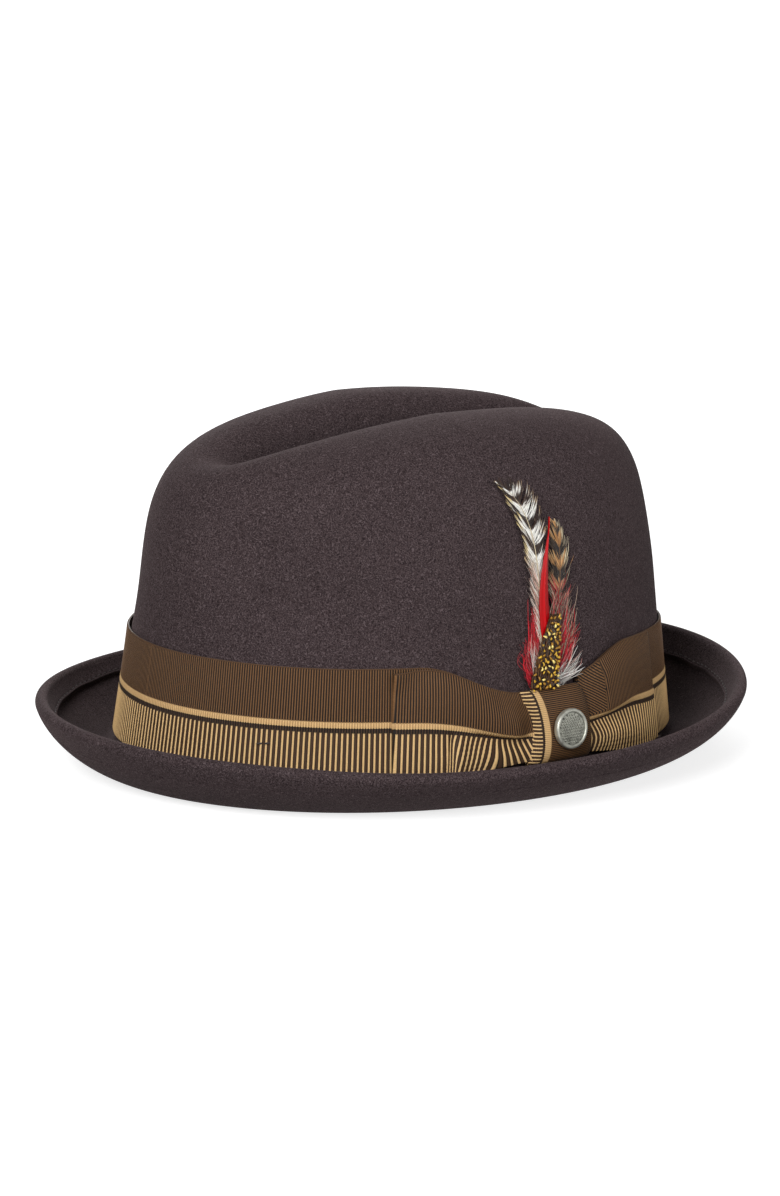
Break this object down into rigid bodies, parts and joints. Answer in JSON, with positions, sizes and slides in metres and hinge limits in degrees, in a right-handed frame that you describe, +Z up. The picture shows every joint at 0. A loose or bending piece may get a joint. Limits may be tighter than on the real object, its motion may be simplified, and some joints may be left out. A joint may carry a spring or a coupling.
{
  "type": "fedora hat",
  "caption": "Felt fedora with a creased crown, stingy upturned brim, striped grosgrain band, flat side bow, round pin and pull-out feather mount.",
  "frame": {"origin": "under the middle of the hat, on the plane the brim rests on (bottom centre of the bounding box)", "axes": "+Z up, -Y towards the wearer's front, +Y back, +X the wearer's left, where the bow, pin and feathers are"},
  "size_m": [0.233, 0.264, 0.1245],
  "materials": {
    "felt": "short napped wool felt, matt",
    "thread": "cotton thread",
    "ribbon": "grosgrain, fine ribs, soft sheen",
    "pewter": "antique pewter with a knurled field",
    "leather": "smooth",
    "reed": "satin",
    "satin": "satin weave",
    "piping": "satin cord",
    "label": "woven tape, blank",
    "barred_feather": "cream barred with dark brown",
    "red_feather": "dyed red",
    "gold_feather": "golden brown and black scales",
    "down": "soft down",
    "quill": "bare quill"
  },
  "bodies": {
    "hat": {"felt_body": "felt", "brim_edge_stitching": "thread", "hat_band": "ribbon", "band_tack_stitches": "thread", "bow_wing_front": "ribbon", "bow_wing_rear": "ribbon", "bow_knot": "ribbon", "pin_badge": "pewter", "pin_clutch": "pewter", "sweatband": "leather", "sweatband_reed": "reed", "sweatband_stitching": "thread", "sweatband_bow": "ribbon", "lining_side": "satin", "lining_tip": "satin", "lining_piping": "piping", "size_label": "label"},
    "feather_mount": {"feather_barred_tall": "barred_feather", "feather_barred_short": "barred_feather", "feather_red": "red_feather", "feather_hackle_front": "red_feather", "feather_hackle_rear": "red_feather", "feather_gold_plume": "gold_feather", "feather_white_down": "down", "feather_quills": "quill", "feather_binding": "thread"}
  },
  "joints": [
    {"name": "feather_pull", "type": "slide", "parent": "hat", "child": "feather_mount", "axis": [-0.13, -0.0091, 0.9915], "range_m": [0, 0.026]}
  ]
}
